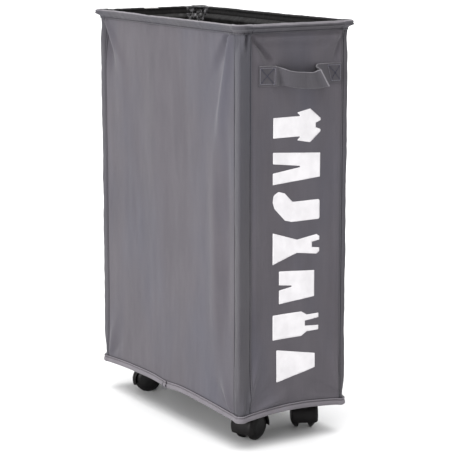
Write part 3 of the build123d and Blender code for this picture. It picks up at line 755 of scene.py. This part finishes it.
def binding_section(u):
    """The folded tape's profile: a ridge over the stitches, a wide band, and a turned lower edge."""
    low = skirt_low(u) + 0.3 * MM * ripple(u, 0, 0.03, 1, 55)
    wander = 0.25 * MM * ripple(u, 0, 0.009, 1, 56)
    grow = skirt_flare(low)
    soft_corner = 2.0 * MM * (1 - smooth(-3 * MM, 9 * MM, around(u)[5]))
    # Rows: how far out, how high, and its share of the wander.
    profile = [
        (0.05, 9.6, 0.0),
        (1.00, 9.5, 0.2),
        (1.65, 8.9, 0.5),
        (1.65, 7.9, 0.6),
        (0.25, 7.1, 0.4),
        (0.25, 6.5, 0.4),
        (1.55, 5.9, 0.6),
        (2.15, 4.2, 1.0),
        (2.35, 2.2, 1.0),
        (1.90, 0.5, 1.0),
        (0.60, -0.4, 0.6),
        (-0.60, -0.4, 0.3),
        (-1.70, 0.5, 0.2),
        (-2.00, 3.0, 0.1),
        (-1.95, 8.6, 0.0),
        (-1.10, 9.2, 0.0),
    ]
    out = [o * MM + grow + soft_corner * (o > 0) + ruffle * wander for o, _, ruffle in profile]
    z = [low + up * MM + 0.5 * ruffle * wander for _, up, ruffle in profile]
    return np.concatenate(out, axis=1), np.concatenate(z, axis=1)


def bottom_binding():
    piece = ring_of("bottom_binding_tape", binding_section, 2.6 * MM, TAPE)
    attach(piece, "root")
    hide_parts("bottom_binding")
    binding_join()


# ---- stitches ------------------------------------------------------------------------------------
def travelled(steps):
    """The distance covered at the start and after each of the steps."""
    return np.concatenate([[0], np.cumsum(steps)])


def thread_mesh(points, normals, pitch, length, radius):
    """Vertices and faces of one row of stitches along a line of points: small capsules, half sunk."""
    run = travelled(np.linalg.norm(np.diff(points, axis=0), axis=1))
    count = max(1, int(run[-1] / pitch))
    vertices, faces = [], []
    profile = [(-0.5, 0.35), (-0.38, 0.9), (0.0, 1.0), (0.38, 0.9), (0.5, 0.35)]
    rings = len(profile)

    def at(values, place):
        return np.array([np.interp(place, run, values[:, k]) for k in range(3)])

    for number in range(count):
        middle = (number + 0.5) * run[-1] / count
        head, tail = at(points, middle - length / 2), at(points, middle + length / 2)
        normal = at(normals, middle)
        normal /= np.linalg.norm(normal)
        centre = (head + tail) / 2
        along = tail - head
        along /= max(np.linalg.norm(along), 1e-9)
        across = np.cross(normal, along)
        start = len(vertices)
        for t, size in profile:
            arch = radius * 0.5 * (1 - (2 * t) ** 2)
            for k in range(6):
                angle = math.pi / 3 * k
                spot = centre + along * t * length + normal * (arch + radius * size * math.sin(angle) * 0.8)
                vertices.append(spot + across * radius * size * math.cos(angle))
        for ring in range(start, start + 6 * (rings - 1), 6):
            for k in range(6):
                a, b = ring + k, ring + (k + 1) % 6
                faces.append((a, a + 6, b + 6, b))
        faces.append(tuple(start + k for k in range(6)))
        faces.append(tuple(start + 6 * (rings - 1) + k for k in reversed(range(6))))
    return vertices, faces


def stitches(name, rows, material, pitch=3.3 * MM, length=2.4 * MM, radius=0.28 * MM):
    """One piece that holds several rows of stitches. Each row is a pair of points and normals."""
    vertices, faces = [], []
    for points, normals in rows:
        v, f = thread_mesh(np.asarray(points), np.asarray(normals), pitch, length, radius)
        faces.extend(tuple(i + len(vertices) for i in face) for face in f)
        vertices.extend(v)
    piece = object_from(name, vertices, faces, material)
    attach(piece, "root")


def sleeve_stitch_rows(name):
    """Two rows, one near each edge of a corner strip."""
    first, last = sleeve_span(name)
    rows = []
    for u in (first + SEAM_IN, last - SEAM_IN):
        z = spaced(skirt_low(u) + BINDING_HEIGHT + 0.5 * MM, HEM_LOW - 1 * MM, 3 * MM)
        rise = sleeve_rise(name, u, z) + 0.25 * MM
        rows.append(surface(np.full_like(z, u), z, rise))
    return rows


def ring_stitch_row(section, column, lift):
    """A row of stitches round a ring, on one line of its profile."""
    u = spaced(0, ROUND, 3 * MM)
    out, z = section(u[:, None])
    nx, ny = around(u)[2:4]
    return off_wall(u, out[:, column] + lift, z[:, column]), np.stack([nx, ny, 0 * nx], axis=-1)


# ---- printed front -------------------------------------------------------------------------------
def front_print():
    """The outlines of the motif, cut fine and laid on the hanging cloth with a thin, soft edge."""
    mesh = bmesh.new()
    mesh.from_mesh(nodes["front_print"].data)
    low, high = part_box("front_print")
    hidden = [f for f in mesh.faces
              if abs(f.calc_center_median().y - low.y) > 0.05 * MM or abs(f.normal.y) < 0.9]
    bmesh.ops.delete(mesh, geom=hidden, context="FACES")
    bmesh.ops.remove_doubles(mesh, verts=mesh.verts[:], dist=0.01 * MM)
    bmesh.ops.dissolve_limit(mesh, angle_limit=0.02, verts=mesh.verts[:], edges=mesh.edges[:])
    for axis, start, stop in ((0, low.x, high.x), (2, low.z, high.z)):
        normal = Vector((axis == 0, 0, axis == 2))
        for place in np.arange(start + 2 * MM, stop, 2.5 * MM):
            geometry = mesh.verts[:] + mesh.edges[:] + mesh.faces[:]
            bmesh.ops.bisect_plane(mesh, geom=geometry, plane_co=normal * place, plane_no=normal)
    bmesh.ops.triangulate(mesh, faces=[f for f in mesh.faces if len(f.verts) > 4])
    places = np.array([v.co for v in mesh.verts])
    top = wall_shape(on_side("front", places[:, 0]), places[:, 2], 0.22 * MM)
    for vertex, spot in zip(mesh.verts, top):
        vertex.co = spot
    bmesh.ops.recalc_face_normals(mesh, faces=mesh.faces[:])
    if sum(f.normal.y * f.calc_area() for f in mesh.faces) > 0:
        bmesh.ops.reverse_faces(mesh, faces=mesh.faces[:])
    data = bpy.data.meshes.new("front_print_ink")
    uv = mesh.loops.layers.uv.new("Cloth")
    for face in mesh.faces:
        face.smooth = True
        for loop in face.loops:
            loop[uv].uv = (loop.vert.co.x, loop.vert.co.z)
    mesh.to_mesh(data)
    mesh.free()
    data.materials.append(INK)
    piece = bpy.data.objects.new("front_print_ink", data)
    bpy.context.scene.collection.objects.link(piece)
    thicken(piece, 0.2 * MM)
    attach(piece, "root")
    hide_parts("front_print")


# ---- handles -------------------------------------------------------------------------------------
# Pairs of points on the upper and lower edge of the front strap, in millimetres: x, how far it stands
# off the panel, and z. They run from the outer end of one sewn tab to the outer end of the other. The
# loop droops, and it folds back to its right-hand tab along a slanting crease.
STRAP = [
    ((-57.0, 1.3, 523.0), (-57.0, 1.3, 497.4)),
    ((-50.0, 1.3, 523.1), (-50.0, 1.3, 497.4)),
    ((-40.0, 1.3, 522.9), (-40.0, 1.3, 497.2)),
    ((-33.4, 2.2, 522.7), (-34.6, 2.2, 496.9)),
    ((-31.6, 5.2, 522.2), (-32.8, 6.2, 496.9)),
    ((-29.4, 5.4, 521.6), (-30.0, 4.6, 496.8)),
    ((-26.5, 6.6, 520.4), (-24.4, 1.6, 496.9)),
    ((-23.0, 10.2, 519.0), (-20.8, 3.2, 496.9)),
    ((-17.0, 14.5, 516.6), (-15.5, 9.6, 496.0)),
    ((-8.0, 17.6, 514.9), (-5.5, 12.0, 493.6)),
    ((3.0, 18.6, 514.0), (8.0, 12.2, 492.2)),
    ((14.0, 18.0, 513.0), (24.0, 11.4, 490.9)),
    ((22.5, 16.0, 513.2), (37.5, 10.2, 490.9)),
    ((25.4, 17.6, 514.8), (42.4, 12.0, 492.0)),
    ((27.6, 22.4, 516.6), (45.2, 17.4, 493.4)),
    ((29.0, 17.0, 517.8), (47.4, 12.0, 494.4)),
    ((30.5, 8.0, 519.6), (49.0, 5.5, 495.6)),
    ((36.0, 3.0, 521.8), (51.0, 2.0, 496.6)),
    ((46.0, 1.5, 522.2), (56.0, 1.3, 496.8)),
    ((60.0, 1.3, 522.0), (64.0, 1.3, 496.6)),
    ((70.0, 1.3, 521.7), (70.0, 1.3, 496.3)),
    ((76.0, 1.3, 521.5), (76.0, 1.3, 496.2)),
]
STRAP_MIDDLE = 6  # the middle one of the 13 columns of points across a strap
HALF_TURN = np.array([-1, -1, 1])  # takes the front strap to the rear


def smooth_rows(pairs, count):
    """Catmull-Rom curves through the pairs of points, at the same steps on both, spread by length."""
    p = np.array(pairs, float)
    p = np.concatenate([2 * p[:1] - p[1:2], p, 2 * p[-1:] - p[-2:-1]])
    dense = []
    for i in range(1, len(p) - 2):
        a, b, c, d = p[i - 1 : i + 3]
        for t in np.linspace(0, 1, 24, endpoint=False):
            bend, twist = 2 * a - 5 * b + 4 * c - d, 3 * b - a - 3 * c + d
            dense.append(0.5 * (2 * b + (c - a) * t + bend * t**2 + twist * t**3))
    dense.append(p[-2])
    dense = np.array(dense)
    run = travelled(np.linalg.norm(np.diff(dense, axis=0), axis=2).mean(axis=1))
    even = np.linspace(0, run[-1], count)
    columns = [np.interp(even, run, dense[:, edge, k]) for edge in (0, 1) for k in range(3)]
    return np.stack(columns[:3], axis=-1), np.stack(columns[3:], axis=-1), even


def strap_grid(count=190, columns=13):
    """The strap's outer face as a grid of points along and across it, from its lower edge up."""
    top, low, run = smooth_rows(STRAP, count)
    share = np.linspace(0, 1, columns)[None, :, None]
    grid = (low[:, None, :] * (1 - share) + top[:, None, :] * share) * MM
    panel_out = hang(on_side("front", grid[..., 0]), grid[..., 2])
    near = 1 - smooth(2 * MM, 9 * MM, grid[..., 1])
    dent = 0.5 * MM * ripple(grid[..., 0], grid[..., 2], 0.011, 0.014, 401) * (1 - near)
    y = -HALF_Y - grid[..., 1] - panel_out * near - dent
    points = np.stack([grid[..., 0], y, grid[..., 2]], axis=-1)
    uv = np.stack(np.broadcast_arrays((run * MM)[:, None], share[..., 0] * 0.025), axis=-1)
    return points, uv


def grid_normals(points):
    normal = np.cross(np.gradient(points, axis=0), np.gradient(points, axis=1))
    return normal / np.linalg.norm(normal, axis=-1, keepdims=True)


def strap_half(name, rows, points, uv, normals, turned):
    """One half of a strap as a closed band with rounded selvedges, and a painted highlight on its upper
    edge.
    """
    outer = points[rows]
    inner = outer - normals[rows] * 1.7 * MM
    edge_low = (outer[:, :1] + inner[:, :1]) / 2 + (outer[:, :1] - outer[:, 1:2]) * 0.3
    edge_high = (outer[:, -1:] + inner[:, -1:]) / 2 + (outer[:, -1:] - outer[:, -2:-1]) * 0.3
    loop = np.concatenate([edge_low, outer, edge_high, inner[:, ::-1]], axis=1)
    own = uv[rows]
    side_uv = np.concatenate([own[:, :1], own, own[:, -1:], own[:, ::-1]], axis=1)
    if turned:
        loop = loop * HALF_TURN
    piece = grid_object(name, loop, side_uv, WEBBING, closed_columns=True)
    piece.data.materials.append(STRAP_EDGE_HIGHLIGHT)
    columns = loop.shape[1]
    last_outer = outer.shape[1]
    # painted highlight: the strap's upper edge, and on the loop's right half three rows where it folds back
    # to its tab, take the lighter webbing
    stand = outer[:, STRAP_MIDDLE, 1]
    crease = np.argmax(stand < stand.min() + 0.3 * MM)
    lit_crease_rows = range(crease - 2, crease + 1) if outer[0, STRAP_MIDDLE, 0] > 0 else ()
    for face in piece.data.polygons:
        row, column = divmod(min(face.vertices), columns)
        if column == last_outer or (row in lit_crease_rows and 1 <= column < last_outer):
            face.material_index = 1
    mesh = bmesh.new()
    mesh.from_mesh(piece.data)
    bmesh.ops.holes_fill(mesh, edges=[e for e in mesh.edges if e.is_boundary])
    bmesh.ops.recalc_face_normals(mesh, faces=mesh.faces[:])
    mesh.to_mesh(piece.data)
    mesh.free()
    return piece


def strap_seams(points, normals):
    """Rows of stitches for the two tabs: a rectangle, and a cross inside it."""
    rows_x = points[:, :, 0].mean(axis=1)
    half = len(points) // 2

    def spot(values, x, share):
        part = slice(0, half) if x < 0 else slice(half, None)
        row = np.array([[np.interp(x, rows_x[part], values[part, k, a]) for a in range(3)]
                        for k in range(values.shape[1])])
        place = share * (len(row) - 1)
        return np.array([np.interp(place, np.arange(len(row)), row[:, a]) for a in range(3)])

    def line(start, stop):
        spots = np.linspace(start, stop, 12)
        facing = np.array([spot(normals, *s) for s in spots])
        return np.array([spot(points, *s) for s in spots]) + facing * 0.15 * MM, facing

    boxes, crosses = [], []
    for first, last in ((-55 * MM, -33 * MM), (56 * MM, 74 * MM)):
        corners = [(first, 0.09), (last, 0.09), (last, 0.91), (first, 0.91)]
        boxes.extend(line(corners[k], corners[(k + 1) % 4]) for k in range(4))
        crosses.extend([line(corners[0], corners[2]), line(corners[1], corners[3])])
    return boxes, crosses


def handle(end):
    """A strap in two halves that meet near the middle of its loop, with the stitches of its two tabs."""
    turned = end == "rear"
    points, uv = strap_grid()
    normals = grid_normals(points)
    if np.sum(normals[..., 1]) > 0:
        normals = -normals
    middle = int(np.argmin(np.abs(points[:, STRAP_MIDDLE, 0] - 10 * MM)))
    halves = (("a", slice(0, middle + 1), -29 * MM, -12 * MM),
              ("b", slice(middle, None), 49 * MM, 32 * MM))
    for tag, rows, fixed_x, loop_x in halves:
        piece = strap_half(f"{end}_handle_strap_{tag}", rows, points, uv, normals, turned)
        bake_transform(piece)
        if tag == "a":
            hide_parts(f"{end}_handle_ends", f"{end}_handle_loop")
    # the box rows' pale grey thread is real stitching that also stands in for light along the tabs' edges,
    # partly a painted highlight
    threads = (("box", GREY_THREAD), ("cross", BLUE_THREAD))
    for (tag, thread), rows in zip(threads, strap_seams(points, normals)):
        if turned:
            rows = [(p * HALF_TURN, n * HALF_TURN) for p, n in rows]
        stitches(f"{end}_handle_{tag}_stitches", rows, thread, pitch=2.6 * MM,
                 length=2.1 * MM, radius=0.36 * MM)


# ---- lining --------------------------------------------------------------------------------------
def lining():
    """The black bag inside: creased walls, with gathers where it turns the corners under the hem, and
    painted highlights on the most gathered faces.
    """
    low_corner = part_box("inner_lining")[0]
    half_x, half_y, floor = -low_corner.x, -low_corner.y, low_corner.z
    cut = 16.8 * MM
    in_x, in_y = half_x - cut, half_y - cut
    corners = [(half_x, in_y), (in_x, half_y), (-in_x, half_y), (-half_x, in_y),
               (-half_x, -in_y), (-in_x, -half_y), (in_x, -half_y), (half_x, -in_y)]
    line, facing, at_corner = [], [], []
    for k, (a, b) in enumerate(zip(corners, corners[1:] + corners[:1])):
        a, b = np.array(a), np.array(b)
        length = np.linalg.norm(b - a)
        corner = k % 2 == 0
        count = int(length / ((0.9 if corner else 3.0) * MM))
        for t in np.arange(count) / count:
            line.append(a + (b - a) * t)
            from_end = min(t, 1 - t) * length
            at_corner.append(1.0 if corner else float(1 - smooth(0, 26 * MM, from_end)))
            facing.append(-np.array([b[1] - a[1], a[0] - b[0]]) / length)
    line, facing, at_corner = np.array(line), np.array(facing), np.array(at_corner)
    run = travelled(np.linalg.norm(np.diff(line, axis=0), axis=1))
    z = np.concatenate([spaced(floor + 0.5 * MM, 0.50, 8 * MM),
                        spaced(0.503, HEM_LOW + 2 * MM, 2.4 * MM)])
    rr, zz = np.meshgrid(run, z, indexing="ij")
    gather = at_corner[:, None] * smooth(0.42, 0.562, zz)
    pleat = np.abs(ripple(rr, zz, 0.0030, 0.020, 5)) * 6.5 * MM
    pleat = pleat + ripple(rr, zz, 0.002, 0.006, 6) * 1.6 * MM
    crease = np.abs(ripple(rr, zz, 0.018, 0.030, 7)) * 1.6 * MM
    crease = crease + np.abs(ripple(rr, zz, 0.007, 0.012, 8)) * 0.7 * MM
    edge = smooth(0, 12 * MM, zz - floor)
    clear = 0.3 * MM + 6.0 * MM * (1 - smooth(HEM_LOW - 3.2 * MM, HEM_LOW + 1 * MM, zz))
    inward = clear + gather * pleat + crease * edge
    x = line[:, 0][:, None] + facing[:, 0][:, None] * inward
    y = line[:, 1][:, None] + facing[:, 1][:, None] * inward
    points = np.stack([x, y, zz], axis=-1)
    uv = np.stack([rr, zz], axis=-1)
    rows, columns = points.shape[:2]
    faces = [tuple(reversed(f)) for f in grid_faces(rows, columns, closed_rows=True)]
    vertices = points.reshape(-1, 3).tolist()
    flat_uv = uv.reshape(-1, 2).tolist()
    ring = [i * columns for i in range(rows)]
    for shrink in (0.93, 0.8, 0.6, 0.35, 0.12):
        following = []
        for i in range(rows):
            px, py, pz = vertices[i * columns]
            px, py = px * shrink, py * shrink
            sag = 0.7 * MM * float(ripple(px, py, 0.03, 0.04, 9)) * (shrink < 0.9)
            following.append(len(vertices))
            vertices.append([px, py, pz + sag])
            flat_uv.append([px, py])
        for i in range(rows):
            after = (i + 1) % rows
            faces.append((ring[i], following[i], following[after], ring[after]))
        ring = following
    vertices.append([0, 0, floor + 0.5 * MM])
    flat_uv.append([0, 0])
    faces.extend((ring[i], len(vertices) - 1, ring[(i + 1) % rows]) for i in range(rows))
    piece = object_from("inner_lining_bag", vertices, faces, LINING, flat_uv)
    piece.data.materials.append(GATHER_HIGHLIGHTS)
    # painted highlights: the most gathered faces take the lining with pale crinkle highlights
    gathered = (gather > 0.62).ravel()
    for face in piece.data.polygons:
        if max(face.vertices) < gathered.size and all(gathered[k] for k in face.vertices):
            face.material_index = 1
    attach(piece, "root")
    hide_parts("inner_lining")


# ---- small cloth details -------------------------------------------------------------------------
def binding_join():
    """The lapped end of the binding tape on the long side, tacked down at both ends."""
    u = on_side("left", spaced(1 * MM, 10 * MM, 0.8 * MM))
    out, z = binding_section(u[:, None])
    points = off_wall(u[:, None], out[:, :11] + 1.1 * MM, z[:, :11])
    uv = np.stack(np.broadcast_arrays(u[:, None], np.linspace(0, 0.014, 11)[None, :]), axis=-1)
    piece = grid_object("binding_join_tape", points, uv, TAPE)
    thicken(piece, 0.7 * MM)
    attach(piece, "root")
    return piece


def join_threads():
    """Tacking across both ends of the lapped tape, and the frayed threads that hang from it."""
    tacks, frays = [], []
    for y in (0.8 * MM, 9.6 * MM):
        u = on_side("left", y)
        out, z = binding_section(np.array([[u]]))
        points = off_wall(u, out[0, 1:10] + 1.25 * MM, z[0, 1:10])
        tacks.append((points, np.tile([*around(u)[2:4], 0.0], (9, 1))))
    for number, (y, drop) in enumerate(((0.6, 7.0), (1.6, 4.5), (9.0, 5.0), (10.2, 8.0))):
        u = on_side("left", y * MM)
        x, y0, nx, ny = around(u)[:4]
        low = float(skirt_low(u)) + 2.5 * MM
        stray = (-1) ** number * 1.2 * MM
        points = [[x + nx * 3.8 * MM, y0 + stray * t, low - drop * MM * t] for t in np.linspace(0, 1, 5)]
        frays.append((points, np.tile([nx, ny, 0.0], (5, 1))))
    stitches("binding_join_tacks", tacks, DARK_THREAD, pitch=2.2 * MM,
             length=2.0 * MM, radius=0.5 * MM)
    stitches("binding_join_frays", frays, GREY_THREAD, pitch=30 * MM,
             length=6 * MM, radius=0.3 * MM)


# ---- build ---------------------------------------------------------------------------------------
for side, pitch in (("front", 1.7 * MM), ("left", 2.3 * MM), ("rear", 2.2 * MM), ("right", 2.8 * MM)):
    panel(side, pitch)
for corner in CORNERS:
    corner_sleeve(corner)
    stitches(f"sleeve_stitches_{corner}", sleeve_stitch_rows(corner), DARK_THREAD,
             radius=0.46 * MM, length=2.7 * MM)
top_hem()
bottom_binding()
stitches("hem_stitches", [ring_stitch_row(hem_section, 3, 0.05 * MM)], DARK_THREAD)
stitches("binding_stitches", [ring_stitch_row(binding_section, 4, 0.1 * MM)], DARK_THREAD)
stitches("binding_edge_stitches", [ring_stitch_row(binding_section, 0, 0.45 * MM)], DARK_THREAD,
         radius=0.48 * MM, length=2.9 * MM)
join_threads()
front_print()
lining()
for end in ("front", "rear"):
    handle(end)

# ---- CAD pieces that stay ------------------------------------------------------------------------
KEPT = (
    (LINING, ["fabric_floor"]),
    (BOARD, ["base_board"]),
    (COATED_STEEL, ["rim_wire", *(f"corner_pole_{corner}" for corner in CORNERS)]),
    (NYLON, ["pole_feet", "pole_top_caps", "swivel_washers",
             *(f"caster_hood_{corner}" for corner in CORNERS)]),
    (ZINC, ["rim_wire_ferrule", "pole_foot_screws", "caster_screws", "caster_kingpins", "kingpin_clips",
            *(f"caster_{part}_{corner}" for part in ("plate", "axle") for corner in CORNERS)]),
    (TREAD, [f"caster_wheel_{corner}_{wheel}" for corner in CORNERS for wheel in "ab"]),
)
for material, names in KEPT:
    for name in names:
        for slot in nodes[name].material_slots:
            slot.material = material


# ---- studio --------------------------------------------------------------------------------------
def studio_floor():
    pale = Material("studio_floor", roughness=0.55, specular=0.3).finish((0.72, 0.72, 0.723, 1.0))
    mesh = bpy.data.meshes.new("studio_floor")
    span = 40.0
    corners = [(-span, -span, 0), (span, -span, 0), (span, span, 0), (-span, span, 0)]
    mesh.from_pydata(corners, [], [(0, 1, 2, 3)])
    mesh.materials.append(pale)
    floor = bpy.data.objects.new("studio_floor", mesh)
    bpy.context.scene.collection.objects.link(floor)


def area_light(name, place, target, size, power):
    data = bpy.data.lights.new(name, "AREA")
    data.shape = "RECTANGLE"
    data.size, data.size_y = size
    data.energy = power
    light = bpy.data.objects.new(name, data)
    light.location = place
    light.rotation_euler = (Vector(target) - Vector(place)).to_track_quat("-Z", "Y").to_euler()
    bpy.context.scene.collection.objects.link(light)


def soft_sun(name, direction, strength, spread):
    data = bpy.data.lights.new(name, "SUN")
    data.energy = strength
    data.angle = math.radians(spread)
    light = bpy.data.objects.new(name, data)
    light.rotation_euler = Vector(direction).to_track_quat("-Z", "Y").to_euler()
    bpy.context.scene.collection.objects.link(light)


studio_floor()
soft_sun("overhead", (0.10, 0.06, -1.0), 3.8, 60)
area_light("key", (-2.6, -0.5, 0.45), (0, 0, 0.0), (1.2, 0.7), 52)

world = bpy.data.worlds.new("studio")
world.use_nodes = True
world.node_tree.nodes["Background"].inputs[0].default_value = (1.0, 1.0, 1.0, 1.0)
world.node_tree.nodes["Background"].inputs[1].default_value = 0.95
bpy.context.scene.world = world
bpy.context.scene.view_settings.view_transform = "Standard"

camera_data = bpy.data.cameras.new("camera")
camera_data.sensor_width = 36.0
camera_data.lens = 128.68
camera_data.clip_start = 0.05
camera = bpy.data.objects.new("camera", camera_data)
camera.location = (-1.261, -2.0284, 0.7367)
camera.rotation_euler = (math.radians(90 - 11.27), 0.0, math.radians(-32.43))
bpy.context.scene.collection.objects.link(camera)
bpy.context.scene.camera = camera
